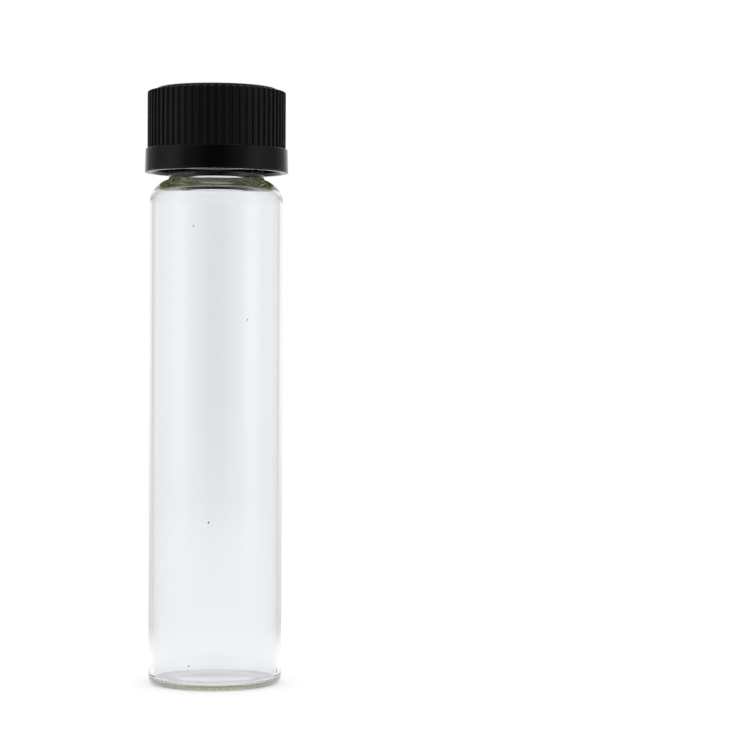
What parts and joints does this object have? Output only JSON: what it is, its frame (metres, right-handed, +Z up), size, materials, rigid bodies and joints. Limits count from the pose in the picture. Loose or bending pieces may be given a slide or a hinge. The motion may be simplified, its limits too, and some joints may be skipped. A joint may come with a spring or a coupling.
{
  "type": "glass sample vial",
  "caption": "Clear glass tube vial with a threaded neck and a black ribbed push-and-turn screw cap, which unscrews with its sealing liner; its shell lifts on the inner cap.",
  "frame": {"origin": "middle of the base, on the plane that the vial stands on", "axes": "+Z up along the axis of the vial and its cap"},
  "size_m": [0.0268, 0.0268, 0.1115],
  "materials": {
    "clear_glass": "clear fire-polished tube glass with a faint olive-green edge tint",
    "liner_polyethylene": "soft, milky, waxy",
    "natural_polypropylene": "translucent natural moulding, satin",
    "black_polypropylene": "black moulding, satin ribs over a smoother band"
  },
  "bodies": {
    "vial": {"vial": "clear_glass"},
    "liner": {"liner": "liner_polyethylene"},
    "inner_cap": {"inner_cap": "natural_polypropylene"},
    "outer_shell": {"outer_shell": "black_polypropylene"}
  },
  "joints": [
    {"name": "cap_rise", "type": "slide", "parent": "vial", "child": "liner", "axis": [0, 0, 1], "range_m": [0, 0.01301]},
    {"name": "cap_turn", "type": "hinge", "parent": "liner", "child": "inner_cap", "pos_m": [0, 0, 0.1], "axis": [0, 0, 1], "range_deg": [0, 1800]},
    {"name": "shell_lift", "type": "slide", "parent": "inner_cap", "child": "outer_shell", "axis": [0, 0, 1], "range_m": [0, 0.0009]}
  ],
  "couplings": [
    {"joint": "cap_rise", "follows": "cap_turn", "m_per_rad": 0.0004138}
  ]
}
